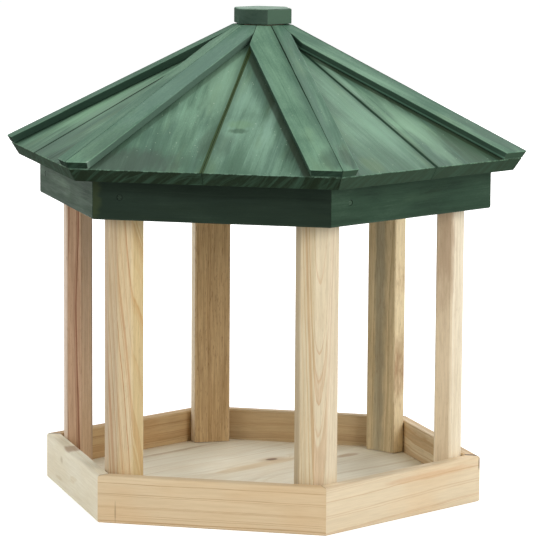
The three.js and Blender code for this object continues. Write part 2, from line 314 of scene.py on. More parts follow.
def timber_group():
    nodes, given, out = new_group(
        "timber", TIMBER_INPUTS,
        sockets("Vector", "Place", "Facing") + sockets(
            "Float", "Late", "Fibre", "Streak", "Cloud", "Ragged", "Halo", "Knot", "Edge", "End", "Wall",
        ),
    )
    place = nodes.add("ShaderNodeAttribute", attribute_name="grain").outputs["Vector"]
    facing = nodes.add("ShaderNodeAttribute", attribute_name="facing").outputs["Vector"]
    edge = nodes.add("ShaderNodeAttribute", attribute_name="worked").outputs["Fac"]
    moved = nodes.vector("ADD", place, given["Offset"])
    reach, push = around_knot(nodes, given, place, moved)
    late = late_wood(nodes, given, place, moved, push)

    fine = nodes.cloud(moved, (15, 0.8, 0.8), 3, 0.65)
    coarse = nodes.cloud(moved, (55, 2.0, 2.0), 2)
    fibre = nodes.plus(nodes.times(fine, 0.6), nodes.times(coarse, 0.4))
    streak = nodes.cloud(moved, (95, 8.5, 8.5), 3, 0.55, bend=0.3)
    cloud = nodes.cloud(moved, (60, 30, 30), 2)
    ragged = nodes.cloud(moved, (16, 4, 4), 3, 0.6)
    knot = nodes.span(reach, 0.7, 1.15, 1.0, 0.0)
    halo = nodes.span(reach, 0.9, 2.6, 1.0, 0.0)
    facing_x, facing_y, _ = nodes.parts(facing)
    end = nodes.math("GREATER_THAN", nodes.math("ABSOLUTE", facing_x), 0.8)
    wall = nodes.math("GREATER_THAN", nodes.math("ABSOLUTE", facing_y), 0.6)
    wall = nodes.clipped("SUBTRACT", wall, end)
    results = {
        "Place": place, "Facing": facing, "Late": late, "Fibre": fibre, "Streak": streak,
        "Cloud": cloud, "Ragged": ragged, "Halo": halo, "Knot": knot, "Edge": edge, "End": end,
        "Wall": wall,
    }
    for label, value in results.items():
        nodes.feed(out[label], value)
    return nodes.tree


TIMBER = timber_group()


def inner_timber(nodes, given):
    timber = nodes.add("ShaderNodeGroup", node_tree=TIMBER)
    for label, _ in TIMBER_INPUTS:
        nodes.feed(timber.inputs[label], given[label])
    return timber.outputs


def with_spots(nodes, given, timber, tint):
    for number in SPOTS:
        label = f"Spot {number}"
        share = nodes.blot(timber["Place"], given[label], given[label + " Size"], timber["Ragged"])
        share = nodes.times(share, given[label + " Share"])
        tint = nodes.mix(share, tint, given[label + " Colour"])
    return tint


# Paints faces lighter or darker by the way they look: painted light and shade
def with_painted_side_light(nodes, given, timber, tint):
    for number in PAINTED_LIGHT_SIDES:
        label = f"Side {number}"
        share = nodes.times(nodes.towards(timber["Facing"], given[label]), given[label + " Share"])
        tint = nodes.mix(share, tint, given[label + " Colour"])
    return tint


# Bare planed softwood
def bare_group():
    nodes, given, out = new_group(
        "bare_softwood_look",
        TIMBER_INPUTS + TINT_INPUTS + sockets("Color", "Early", "Late", "Patch")
        + sockets("Float", "Rings", "Patches", "Figure", "Mitre", "Open"),
        LOOK_OUTPUTS,
    )
    timber = inner_timber(nodes, given)
    late = nodes.clipped("MULTIPLY", timber["Late"], given["Rings"])
    tint = nodes.mix(late, given["Early"], given["Late"])
    patches = nodes.span(timber["Cloud"], 0.42, 0.66)
    tint = nodes.mix(nodes.clipped("MULTIPLY", patches, given["Patches"]), tint, given["Patch"])
    tint = with_spots(nodes, given, timber, with_painted_side_light(nodes, given, timber, tint))
    streak = nodes.span(timber["Streak"], 0.3, 0.72, 1.06, 0.88)
    fibre = nodes.span(timber["Fibre"], 0.3, 0.68, 0.68, 1.12)
    tone = nodes.times(streak, fibre)
    brown = nodes.join(tone, nodes.math("POWER", tone, 1.15), nodes.math("POWER", tone, 1.35))
    tint = nodes.mix(given["Figure"], tint, brown, "MULTIPLY")
    for label, share, shade in (
        ("Halo", 0.45, KNOT_RIM), ("Knot", 0.8, KNOT_HEART),
        ("End", 0.3, SAWN_END), ("Edge", 0.25, PALE_EDGE),
    ):
        tint = nodes.mix(nodes.times(timber[label], share), tint, colour(*shade))
    along, _, outward = nodes.parts(timber["Place"])
    to_mitre = nodes.plus(given["Mitre"], nodes.times(outward, MITRE_SLOPE))
    to_mitre = nodes.minus(to_mitre, nodes.math("ABSOLUTE", along))
    gap = nodes.span(nodes.plus(to_mitre, timber["Ragged"]), 0.6, 1.4, given["Open"], 0.0)
    gap = nodes.times(gap, nodes.towards(timber["Facing"], (0, 1, 0)))
    tint = nodes.mix(gap, tint, colour(*OPEN_MITRE))
    fleck = nodes.span(nodes.cloud(timber["Place"], (4.5, 0.6, 0.6), 2), 0.58, 0.7)
    fleck = nodes.clipped("MULTIPLY", fleck, nodes.minus(given["Figure"], 0.3))
    tint = nodes.mix(fleck, tint, colour(*DARK_FLECK))
    nodes.feed(out["Colour"], tint)
    nodes.feed(out["Roughness"], nodes.span(timber["Fibre"], 0.3, 0.7, 0.78, 0.6))
    height = nodes.minus(timber["Fibre"], nodes.times(late, 0.35))
    nodes.feed(out["Height"], height)
    return nodes.tree


# Softwood under a translucent green stain
def stain_tone(nodes, given, timber, moved, brush, down, from_strip):
    """How light the stain is, from 0 to 1, with painted shade beside a strip, partly stain pooled there"""
    broad = nodes.cloud(moved, (48, 30, 30), 2, 0.5, bend=0.6)
    grit = nodes.cloud(moved, (2.0, 0.8, 0.8), 2, 0.7)
    tone = given["Tone"]
    for layer, weight in (
        (timber["Streak"], 1.0), (broad, 1.4), (brush, 0.4), (timber["Fibre"], 0.4), (grit, given["Grit"]),
    ):
        above = nodes.times(nodes.minus(layer, 0.5), given["Contrast"])
        tone = nodes.plus(tone, nodes.times(above, weight))
    tone = nodes.minus(tone, nodes.times(timber["Late"], given["Rings"]))
    shade_start = nodes.minus(given["Eave"], EAVE_SHADE_LENGTH)
    to_eave = nodes.span(down, shade_start, given["Eave"])
    tone = nodes.minus(tone, nodes.times(to_eave, given["Eave Shade"]))
    # Painted shade beside a strip, partly stain pooled along it
    uneven = nodes.times(nodes.minus(timber["Streak"], 0.5), 14.0)
    beside = nodes.span(nodes.plus(from_strip, uneven), 0.0, 11.0, 1.0, 0.0)
    return nodes.minus(tone, nodes.times(beside, given["Hip Shade"]))


def stain_tint(nodes, given, moved, tone):
    """The stain's colour at that tone, with its cool and warm casts"""
    low = nodes.mix(nodes.span(tone, 0.0, 0.5), given["Deep"], given["Middle"])
    tint = nodes.mix(nodes.span(tone, 0.45, 1.0), low, given["Light"])
    for lengths, start, end, share, cast in (
        ((70, 9, 9), 0.48, 0.66, 0.14, COOL_CAST), ((50, 12, 90), 0.56, 0.72, 0.22, WARM_CAST),
    ):
        patch = nodes.span(nodes.cloud(moved, lengths, 2), start, end)
        patch = nodes.times(nodes.times(patch, share), given["Casts"])
        tint = nodes.mix(patch, tint, colour(*cast))
    return tint


def from_seam(nodes, given, down, across, brush):
    """Distance from the seam, with a brushed edge, and how much of the seam shows this far down"""
    distance = nodes.minus(across, nodes.times(down, given["Seam Drift"]))
    distance = nodes.math("ABSOLUTE", nodes.minus(distance, given["Seam Place"]))
    lower = nodes.span(down, 70.0, 150.0, 1.0, given["Seam Low"])
    has_seam = nodes.times(nodes.span(given["Seam"], 0.0, 0.1), lower)
    return nodes.plus(distance, brush), has_seam


def stained_end(nodes, given, timber, down, across, outward):
    """End grain under the stain, with the slanting marks of the saw"""
    cut = nodes.mix(nodes.times(timber["Late"], 0.55), given["End Colour"], given["Deep"])
    cut = nodes.mix(nodes.span(timber["Fibre"], 0.5, 0.75, 0.0, 0.25), cut, given["Deep"])
    slanted = nodes.minus(across, nodes.times(outward, 1.1))
    sawn = nodes.cloud(nodes.join(down, slanted, outward), (60, 3.5, 14), 2, 0.5)
    return nodes.mix(nodes.span(sawn, 0.45, 0.7, 0.0, 0.5), cut, given["Deep"])


def edge_wear_and_highlight(nodes, given, timber, brush, seam_line, has_seam):
    """How far the stain is rubbed off an upper edge, away from a seam, with a painted highlight on that edge
    """
    wear_and_highlight = nodes.times(timber["Edge"], nodes.span(brush, 0.4, 0.62, 0.05, 0.6))
    wear_and_highlight = nodes.times(wear_and_highlight, given["Wear And Highlight"])
    wear_and_highlight = nodes.times(wear_and_highlight, nodes.span(nodes.parts(timber["Facing"])[2], 0.1, 0.5))
    at_seam = nodes.times(nodes.span(seam_line, 2.0, 3.5, 1.0, 0.0), has_seam)
    return nodes.clipped("SUBTRACT", wear_and_highlight, at_seam)


def stained_group():
    nodes, given, out = new_group(
        "stained_wood_look",
        TIMBER_INPUTS + TINT_INPUTS
        + sockets("Color", "Deep", "Middle", "Light", "Seam Colour", "End Colour", "Wall Light And Shade")
        + sockets(
            "Float", "Tone", "Contrast", "Rings", "Hip Offset", "Hip Shade", "Seam", "Seam Drift",
            "Seam Place", "Seam Low", "Wear And Highlight", "Eave Shade", "Eave", "Specks", "Grit", "Casts", "Foot",
            "Wall Line",
        ),
        LOOK_OUTPUTS,
    )
    timber = inner_timber(nodes, given)
    moved = nodes.vector("ADD", timber["Place"], given["Offset"])
    down, across, outward = nodes.parts(timber["Place"])
    brush = nodes.cloud(moved, (44, 3.2, 3.2), 3, 0.6)
    to_hip = nodes.times(down, HIP_SPREAD)
    from_hip = nodes.minus(to_hip, nodes.math("ABSOLUTE", across))
    from_strip = nodes.minus(from_hip, given["Hip Offset"])
    tone = stain_tone(nodes, given, timber, moved, brush, down, from_strip)
    tint = with_spots(nodes, given, timber, stain_tint(nodes, given, moved, tone))
    speck = nodes.span(nodes.cloud(moved, (1.6, 1.1, 1.1), 0), 0.82, 0.86)
    tint = nodes.mix(nodes.times(speck, given["Specks"]), tint, colour(*PALE_SPECK))
    # Painted shadow along the foot of a strip
    foot = nodes.span(nodes.plus(from_strip, timber["Ragged"]), 0.8, 2.4, 1.0, 0.0)
    foot = nodes.times(foot, nodes.span(given["Hip Offset"], 0.0, 1.0))
    tint = nodes.mix(nodes.times(foot, given["Foot"]), tint, colour(*STRIP_SHADOW))

    seam_line, has_seam = from_seam(nodes, given, down, across, brush)
    blurred = nodes.span(seam_line, given["Seam"], nodes.plus(given["Seam"], 3.5), 0.4, 0.0)
    tint = nodes.mix(nodes.times(blurred, has_seam), tint, given["Deep"])
    seam = nodes.span(seam_line, nodes.times(given["Seam"], 0.7), given["Seam"], 0.9, 0.0)
    seam = nodes.times(seam, has_seam)
    tint = nodes.mix(seam, tint, given["Seam Colour"])
    tint = nodes.mix(nodes.times(timber["Knot"], 0.6), tint, colour(*STAINED_KNOT))
    # Side walls take the wall colour: painted shade, and painted light on a strip whose wall colour is
    # lighter
    tint = nodes.mix(nodes.times(timber["Wall"], 0.85), tint, given["Wall Light And Shade"])
    line = nodes.math("ABSOLUTE", nodes.minus(outward, WALL_LINE))
    line = nodes.times(nodes.span(line, 0.3, 0.7, 1.0, 0.0), timber["Wall"])
    tint = nodes.mix(nodes.times(line, given["Wall Line"]), tint, given["Middle"])
    cut = stained_end(nodes, given, timber, down, across, outward)
    tint = nodes.mix(nodes.times(timber["End"], 0.97), tint, cut)
    tint = with_painted_side_light(nodes, given, timber, tint)
    # Rubbed edges, partly painted highlight
    wear_and_highlight = edge_wear_and_highlight(nodes, given, timber, brush, seam_line, has_seam)
    nodes.feed(out["Colour"], nodes.mix(wear_and_highlight, tint, given["Light"]))
    smooth = nodes.span(timber["Fibre"], 0.3, 0.7, 0.66, 0.5)
    dull = nodes.plus(timber["End"], seam)
    nodes.feed(out["Roughness"], nodes.clipped("ADD", smooth, dull))
    height = nodes.minus(timber["Fibre"], nodes.times(timber["Late"], 0.3))
    nodes.feed(out["Height"], nodes.plus(height, nodes.times(brush, 0.4)))
    return nodes.tree


BARE = bare_group()
STAINED = stained_group()


def finished(name, look, values, relief, shine):
    """A material from one of the looks, with this piece's own values"""
    material, nodes = new_material(name)
    group = nodes.add("ShaderNodeGroup", node_tree=look)
    for label, value in values.items():
        nodes.feed(group.inputs[label], value)
    raised = nodes.add("ShaderNodeBump", {
        "Height": group.outputs["Height"], "Strength": relief, "Distance": RELIEF_DEPTH,
    })
    nodes.show(nodes.add("ShaderNodeBsdfPrincipled", {
        "Base Color": group.outputs["Colour"], "Roughness": group.outputs["Roughness"],
        "Normal": raised.outputs[0], "Specular IOR Level": shine,
    }))
    return material


def timber_values(seed, pith, ring, lean=(0, 0), wander=10.0, knot=(0, 0), size=0.0, early_share=0.45):
    """Values of the timber inputs. Pith, lean and knot are in the board's own axes, in millimetres"""
    return {
        "Offset": (131.0 * seed, 57.0 * seed, 23.0 * seed),
        "Pith": (0.0, pith[0], pith[1]),
        "Lean": (0.0, lean[0], lean[1]),
        "Ring": ring,
        "Early Share": early_share,
        "Wander": wander,
        "Knot": (knot[0], knot[1], 0.0),
        "Knot Size": size,
    }


def tint_values(lit_and_shaded_sides, spots):
    """Values of the tint inputs. A side is a direction, colour and share, for painted light and shade on the
    faces that look that way; a spot adds its half lengths
    """
    values = {}
    none = ((0, 0, 1), (0, 0, 0), 0.0)
    for number, (direction, tint, share) in zip(PAINTED_LIGHT_SIDES, list(lit_and_shaded_sides) + [none] * len(PAINTED_LIGHT_SIDES)):
        label = f"Side {number}"
        values |= {label: direction, label + " Colour": colour(*tint), label + " Share": share}
    none = ((0, 0), (1, 1), (0, 0, 0), 0.0)
    for number, (place, size, tint, share) in zip(SPOTS, list(spots) + [none] * len(SPOTS)):
        label = f"Spot {number}"
        values |= {
            label: (*place, 0.0), label + " Size": (*size, BEYOND), label + " Colour": colour(*tint),
            label + " Share": share,
        }
    return values


def bare_wood(name, early, late, patch, rings=0.7, patches=0.4, figure=0.4, mitre=BEYOND, gap=0.45,
              lit_and_shaded_sides=(), spots=(), **timber):
    values = timber_values(**timber) | tint_values(lit_and_shaded_sides, spots) | {
        "Early": colour(*early), "Late": colour(*late), "Patch": colour(*patch),
        "Rings": rings, "Patches": patches, "Figure": figure, "Mitre": mitre, "Open": gap,
    }
    return finished(name, BARE, values, BARE_RELIEF, BARE_SHINE)


# wall is the colour of the side walls: by default a dark painted shade
def stained_wood(name, deep, middle, light, tone, contrast, rings=0.15, hip=(0.0, 0.0), seam=0.0,
                 drift=0.0, seam_place=0.0, seam_low=0.9, seam_colour=(26, 36, 26), eave=(0.0, BEYOND),
                 specks=0.0, grit=0.3, casts=1.0, foot=0.0, wear_and_highlight=0.8, end=(9, 21, 9), wall=(34, 52, 42),
                 wall_line=0.0, shine=STAINED_SHINE, lit_and_shaded_sides=(), spots=(), **timber):
    values = timber_values(**timber) | tint_values(lit_and_shaded_sides, spots) | {
        "Deep": colour(*deep), "Middle": colour(*middle), "Light": colour(*light),
        "Tone": tone, "Contrast": contrast, "Rings": rings,
        "Hip Offset": hip[0], "Hip Shade": hip[1], "Seam": seam, "Seam Drift": drift,
        "Seam Place": seam_place, "Seam Low": seam_low, "Seam Colour": colour(*seam_colour), "Wear And Highlight": wear_and_highlight,
        "Casts": casts, "Foot": foot, "Eave Shade": eave[0], "Eave": eave[1],
        "Specks": specks, "Grit": grit, "End Colour": colour(*end), "Wall Light And Shade": colour(*wall),
        "Wall Line": wall_line,
    }
    return finished(name, STAINED, values, STAINED_RELIEF, shine)


def mottled_steel(name, dark, pale, grain, start, roughness, **settings):
    """A fastener's surface with a fine mottle. The grain is its length in millimetres"""
    material, nodes = new_material(name)
    place = nodes.vector("MULTIPLY", nodes.add("ShaderNodeTexCoord").outputs["Object"], (1 / MM,) * 3)
    mottle = nodes.cloud(place, (grain,) * 3, 3)
    tint = nodes.ramp(mottle, [(start, colour(*dark)), (0.7, colour(*pale))])
    rough = nodes.span(mottle, 0.3, 0.7, *roughness)
    nodes.show(nodes.add("ShaderNodeBsdfPrincipled", {"Base Color": tint, "Roughness": rough} | settings))
    return material


def zinc_steel():
    """Zinc plating, dull"""
    return mottled_steel("zinc_plated_steel", (128, 128, 122), (176, 176, 168), 0.9, 0.3, (0.5, 0.3),
                         Metallic=1.0)


def stained_steel(name, deep, light):
    """A nail head that the stain went over"""
    return mottled_steel(name, deep, light, 0.7, 0.35, (0.6, 0.4),
                         **{"Metallic": 0.0, "Specular IOR Level": STAINED_SHINE})


# Pieces
def new_object(name, data):
    thing = bpy.data.objects.new(name, data)
    bpy.context.scene.collection.objects.link(thing)
    return thing


def turned(direction, turn):
    return Matrix.Rotation(turn, 3, "Z") @ Vector(direction)


def side_axes(number):
    """Along a side of the hexagon and out of it. Side 1 is the front, and half a step on is a corner"""
    turn = (number - 1) * STEP
    return turned((1, 0, 0), turn), turned((0, -1, 0), turn)


def axes(along, out):
    """Rows of the piece's own axes: along the grain, across it and out of its face"""
    along = along.normalized()
    across = out.cross(along).normalized()
    return Matrix((along, across, along.cross(across)))


def welded(node):
    """The node's solid as one mesh of flat faces"""
    solid = bmesh.new()
    solid.from_mesh(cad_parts[node].data)
    bmesh.ops.remove_doubles(solid, verts=solid.verts, dist=WELD)
    bmesh.ops.dissolve_limit(
        solid, angle_limit=FLAT_TURN, verts=solid.verts, edges=solid.edges,
        use_dissolve_boundaries=False,
    )
    return solid


def round_edges(solid, radius):
    """Rounds the long sharp edges and returns the new faces' layer"""
    worked = solid.faces.layers.float.new("rounded")
    sharp = [
        edge for edge in solid.edges
        if edge.is_manifold and edge.calc_face_angle() > SHARP_TURN and edge.calc_length() > SHORT_EDGE
    ]
    result = bmesh.ops.bevel(
        solid, geom=sharp, offset=radius, offset_type="OFFSET", segments=2, profile=0.5,
        affect="EDGES", clamp_overlap=True, loop_slide=True,
    )
    for face in result["faces"]:
        face[worked] = 1.0
    return worked


def slice_along(solid, along, step):
    """Cuts the faces across the grain at even steps, so that they can be made uneven"""
    places = [vert.co.dot(along) for vert in solid.verts]
    low = min(places)
    count = int((max(places) - low) / step)
    for i in range(1, count + 1):
        geometry = solid.verts[:] + solid.edges[:] + solid.faces[:]
        bmesh.ops.bisect_plane(
            solid, geom=geometry, dist=WELD, plane_co=along * (low + i * step), plane_no=along,
        )


def make_uneven(solid, out, seed, height):
    """Moves the front and back of a board in slow waves, always into the wood"""
    solid.normal_update()
    shift = Vector((seed * 1.7, seed * 0.9, seed * 2.3))
    for vert in solid.verts:
        wave = noise.noise(vert.co / WAVE_LENGTH + shift)
        vert.co += out * vert.normal.dot(out) * (wave - 1.0) * 0.5 * height


def all_solids():
    """A tree to find the nearest solid with, and the node that each of its faces belongs to"""
    corners, faces, owners = [], [], []
    for name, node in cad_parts.items():
        first = len(corners)
        corners += [vert.co.copy() for vert in node.data.vertices]
        for polygon in node.data.polygons:
            faces.append([first + index for index in polygon.vertices])
            owners.append(name)
    return BVHTree.FromPolygons(corners, faces), owners


SOLIDS, OWNERS = all_solids()


def is_joint(face, node):
    """True if most of the face has another piece right in front of it"""
    middle = face.calc_center_median()
    spots = [middle] + [middle.lerp(vert.co, CORNER_SHARE) for vert in face.verts]
    hits = 0
    for spot in spots:
        found = SOLIDS.ray_cast(spot + face.normal * WELD, face.normal, JOINT_REACH)
        hits += found[2] is not None and OWNERS[found[2]] != node
    return hits > JOINT_SHARE * len(spots)


def draw_joints_up(solid, node):
    """Grows the faces that meet another piece, so that only a hairline is left between the two"""
    solid.normal_update()
    growth = {face: JOINT_GROWTH if is_joint(face, node) else 0.0 for face in solid.faces}
    moves = {}
    for vert in solid.verts:
        around = vert.link_faces
        if any(growth[face] for face in around):
            normals = np.array([face.normal for face in around])
            wanted = np.array([growth[face] for face in around])
            moves[vert] = Vector(np.linalg.lstsq(normals, wanted, rcond=SAME_WAY)[0])
    for vert, move in moves.items():
        vert.co += move


def write_attributes(mesh, solid_axes, origin, rounded):
    """Stores the board's own coordinates in millimetres, where each face looks, and the worked edges"""
    grain = mesh.attributes.new("grain", "FLOAT_VECTOR", "POINT")
    for vert in mesh.vertices:
        grain.data[vert.index].vector = (solid_axes @ (vert.co - origin)) / MM
    facing = mesh.attributes.new("facing", "FLOAT_VECTOR", "CORNER")
    for polygon in mesh.polygons:
        for corner in polygon.loop_indices:
            facing.data[corner].vector = solid_axes @ polygon.normal
    worked = mesh.attributes.new("worked", "FLOAT", "CORNER")
    for polygon in mesh.polygons:
        for corner in polygon.loop_indices:
            worked.data[corner].value = rounded[polygon.index]


def make_piece(node, material, along, out, origin, radius, seed, height=WAVE_HEIGHT):
    """The dressed piece that stands for a node"""
    solid = welded(node)
    draw_joints_up(solid, node)
    worked_layer = round_edges(solid, radius)
    slice_along(solid, along.normalized(), SLICE)
    make_uneven(solid, out.normalized(), seed, height)
    rounded = [face[worked_layer] for face in solid.faces]
    solid.faces.layers.float.remove(worked_layer)
    mesh = bpy.data.meshes.new(node + "_timber")
    solid.to_mesh(mesh)
    solid.free()
    write_attributes(mesh, axes(along, out), origin, rounded)
    mesh.shade_smooth()
    mesh.set_sharp_from_angle(angle=SMOOTH_TURN)
    mesh.materials.append(material)
    piece = new_object(node + "_timber", mesh)
    normals = piece.modifiers.new("normals", "WEIGHTED_NORMAL")
    normals.keep_sharp = True
    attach(piece, "root")
    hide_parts(node)
    return piece


def centre(node):
    low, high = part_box(node)
    return (low + high) / 2


# Tray
def floor_wood():
    return bare_wood(
        "floor_wood", (244, 235, 212), (212, 188, 150), (236, 220, 190), 0.45,
        figure=0.25, seed=3, pith=(8, -64), ring=7.5, wander=16, knot=(43, 30.5), size=3.6,
        spots=[
            # The second spot is painted shadow at the foot of the back right post, and the third a line of
            # painted shadow along the foot of the back left rail
            ((22, 24), (46, 6), (214, 182, 132), 0.55), ((88, 6), (11, 4), (182, 140, 92), 0.6),
            ((16, 93.5), (40, 2.4), (186, 152, 108), 0.55),
        ],
    )


def add_floor():
    along = turned((1, 0, 0), STEP)
    origin = Vector((0, 0, FLOOR_TOP))
    make_piece("tray_floor", floor_wood(), along, UP, origin, SAWN_ROUND, 3)


# Seeds are a number for the kind of piece plus the piece's own number
RAIL_LOOKS = {
    1: dict(early=(222, 199, 162), late=(160, 118, 72), patch=(216, 184, 140), rings=0.8, patches=0.5,
            figure=0.22, pith=(-60, -6), ring=7.0, wander=3, early_share=0.86,
            spots=[((-59, -8), (0.5, 7), (110, 80, 50), 0.4)]),
    2: dict(early=(230, 212, 180), late=(196, 152, 104), patch=(226, 196, 154), rings=0.55, patches=0.5,
            figure=0.22, pith=(-70, -24), ring=8.0, lean=(0.02, 0), wander=5, early_share=0.78,
            spots=[((70.5, 9.5), (0.7, 5), (84, 58, 34), 0.7), ((25, 9), (44, 2.2), (212, 166, 120), 0.4)]),
    3: dict(early=(222, 202, 166), late=(186, 148, 100), patch=(210, 180, 138), patches=0.5,
            pith=(14, -40), ring=5.5, wander=10, gap=1.0),
    4: dict(early=(196, 172, 134), late=(148, 112, 70), patch=(184, 152, 108), patches=0.5,
            pith=(-40, -30), ring=6.5, wander=6, early_share=0.74),
    5: dict(early=(198, 168, 124), late=(150, 110, 64), patch=(182, 142, 94), patches=0.5,
            pith=(-50, -26), ring=7.5, wander=6, early_share=0.74, gap=1.0),
    6: dict(early=(240, 232, 208), late=(214, 196, 156), patch=(232, 220, 190), rings=0.5, patches=0.6,
            figure=0.22, pith=(4, -52), ring=6.5, wander=14,
            spots=[((-16, 14.5), (10, 1.8), (150, 104, 64), 0.6), ((-29, 5), (4, 2.2), (186, 168, 128), 0.45),
                   ((-36, -8), (12, 1.6), (206, 188, 148), 0.5)]),
}


def mitre_reach(node, board_axes):
    """Half the length of a mitred rail, in millimetres, measured halfway through its thickness"""
    places = [board_axes @ (vert.co - centre(node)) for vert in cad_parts[node].data.vertices]
    farthest = max(places, key=lambda place: place.x)
    return (farthest.x - farthest.z * MITRE_SLOPE) / MM


def add_rails():
    for number, look in RAIL_LOOKS.items():
        node = f"tray_rail_{number}"
        along, out = side_axes(number)
        reach = mitre_reach(node, axes(along, out))
        material = bare_wood(f"rail_wood_{number}", seed=10 + number, mitre=reach, **look)
        make_piece(node, material, along, out, centre(node), RAIL_ROUND, number)


# Posts
# Where the faces of a post look, in its own axes, seen from outside the tray
POST_LEFT, POST_RIGHT, POST_INNER = (0, 1, 0), (0, -1, 0), (0, 0, -1)
POST_LEFT_BEVEL, POST_RIGHT_BEVEL = (0, 0.5, 0.866), (0, -0.5, 0.866)
# A post's sides paint single faces of it lighter or darker: painted light and shade
POST_LOOKS = {
    1: dict(early=(218, 198, 160), late=(178, 108, 48), patch=(212, 182, 134), rings=0.9, patches=0.3,
            figure=0.45, pith=(30, 8), ring=3.4, lean=(0.08, 0.0), wander=4, early_share=0.4,
            lit_and_shaded_sides=[(POST_LEFT_BEVEL, (186, 170, 148), 0.5), (POST_RIGHT, (226, 200, 138), 0.4)]),
    2: dict(early=(214, 198, 164), late=(184, 134, 80), patch=(208, 184, 144), rings=0.75, patches=0.3,
            pith=(1, 20), ring=1.9, lean=(0.0, -0.036), wander=1.4, early_share=0.62,
            lit_and_shaded_sides=[(POST_LEFT, (178, 162, 134), 0.5), (POST_RIGHT_BEVEL, (244, 230, 204), 0.5)]),
    3: dict(early=(240, 227, 200), late=(206, 174, 130), patch=(232, 216, 184), rings=0.5, figure=0.45,
            pith=(-50, 8), ring=3.6, wander=5, early_share=0.6,
            lit_and_shaded_sides=[(POST_LEFT, (212, 188, 152), 0.7)],
            # Its spot is painted shade under the roof at the top of the post, in a pinker tone
            spots=[((70, 13.5), (64, 4), (178, 149, 120), 0.6)]),
    4: dict(early=(214, 194, 154), late=(150, 120, 76), patch=(186, 164, 120), rings=0.6, figure=0.6,
            pith=(40, -30), ring=5.0, lean=(0.03, 0), wander=6, early_share=0.7,
            lit_and_shaded_sides=[(POST_LEFT, (243, 224, 183), 0.85)],
            spots=[((-20, -1), (190, 5), (140, 136, 116), 0.6), ((-46, 13), (30, 1.3), (140, 88, 42), 0.7),
                   ((14, 13), (16, 1.0), (150, 96, 50), 0.6)]),
    5: dict(early=(200, 170, 126), late=(150, 112, 68), patch=(186, 152, 104), rings=0.5, figure=0.8,
            pith=(-50, -36), ring=3.0, wander=5, early_share=0.6,
            lit_and_shaded_sides=[(POST_RIGHT, (246, 232, 204), 0.85)]),
    6: dict(early=(190, 156, 126), late=(122, 68, 42), patch=(176, 138, 108), rings=0.85, figure=0.6,
            pith=(46, 24), ring=2.6, wander=5, early_share=0.62,
            lit_and_shaded_sides=[(POST_RIGHT_BEVEL, (236, 218, 198), 0.8), (POST_INNER, (206, 176, 140), 0.6)],
            # The first spot is painted shade along the inner face
            spots=[((0, 11), (120, 2.4), (132, 122, 106), 0.7), ((88, 8), (5, 3), (70, 66, 60), 0.6)]),
}


def add_posts():
    for number, look in POST_LOOKS.items():
        node = f"post_{number}"
        _, out = side_axes(number - 0.5)
        material = bare_wood(f"post_wood_{number}", seed=20 + number, **look)
        make_piece(node, material, UP, out, centre(node), SAWN_ROUND, 10 + number)


# Fascia
DARK_GREEN = dict(tone=0.5, contrast=0.6, pith=(-14, -38), ring=4.5, wander=4, casts=0.1, shine=FASCIA_SHINE)
FASCIA_LOOKS = {
    1: dict(deep=(20, 31, 23), middle=(32, 45, 35), light=(47, 62, 49), contrast=0.5,
            spots=[((-72, -4), (5, 30), (58, 68, 42), 0.6)]),
    2: dict(deep=(28, 43, 32), middle=(46, 68, 52), light=(72, 95, 76), tone=0.55, contrast=0.8),
    3: dict(deep=(26, 38, 30), middle=(40, 58, 44), light=(62, 82, 64)),
    4: dict(deep=(24, 36, 28), middle=(36, 52, 40), light=(58, 76, 60)),
    5: dict(deep=(26, 38, 30), middle=(38, 54, 42), light=(60, 80, 62)),
    6: dict(deep=(28, 43, 32), middle=(51, 69, 54), light=(82, 101, 84), contrast=0.9,
            spots=[((-66, 6), (0.8, 0.8), (16, 22, 16), 0.9), ((-48, 2), (0.6, 9), (22, 30, 22), 0.6)]),
}


def add_fascia():
    for number, look in FASCIA_LOOKS.items():
        node = f"fascia_board_{number}"
        along, out = side_axes(number)
        material = stained_wood(f"fascia_stain_{number}", seed=30 + number, **(DARK_GREEN | look))
        make_piece(node, material, along, out, centre(node), SAWN_ROUND,
                   20 + number)


# Roof: the slope of each side, read from the top face of its board
def slope_normal(node):
    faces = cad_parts[node].data.polygons
    upper = [face for face in faces if face.normal.z > UPWARD]
    return max(upper, key=lambda face: face.area).normal.copy().normalized()


def down_slope(normal):
    across = normal.cross(UP).normalized()
    return across.cross(normal).normalized() * -1.0


def hip_direction(node):
    """Direction of the node's longest edge, pointing down"""
    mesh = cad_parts[node].data
    ends = [(mesh.vertices[a].co, mesh.vertices[b].co) for a, b in mesh.edge_keys]
    first, second = max(ends, key=lambda pair: (pair[0] - pair[1]).length)
    direction = (second - first).normalized()
    return direction if direction.z < 0 else -direction


def roof_peak():
    """The point of the roof's axis that lies in the underside of the boards"""
    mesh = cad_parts["roof_board_1_right"].data
    front = slope_normal("roof_board_1_right")
    lowest = min(vert.co.dot(front) for vert in mesh.vertices)
    return Vector((0, 0, lowest / front.z))


def drift_of(board, board_axes, peak):
    """How far the seam runs to the right for each step down the slope"""
    places = [board_axes @ (vert.co - peak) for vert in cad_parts[board].data.vertices]
    lowest = max(place.x for place in places)
    eave = [place for place in places if lowest - place.x < MM]
    seam = min(eave, key=lambda place: abs(place.y))
    return seam.y / seam.x


def joint_line(strip, strip_axes, peak):
    """Where the strip's joint at the hip starts at the peak, and how far it runs aside for each step down"""
    places = [strip_axes @ (vert.co - peak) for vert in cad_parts[strip].data.vertices]
    highest = max(place.z for place in places)
    upper = [place for place in places if highest - place.z < 0.1 * MM]
    middle = sum(place.y for place in upper)
    head = max(upper, key=lambda place: -middle * place.y)
    foot = max(upper, key=lambda place: place.x)
    drift = (foot.y - head.y) / (foot.x - head.x)
    return head.y - drift * head.x, drift


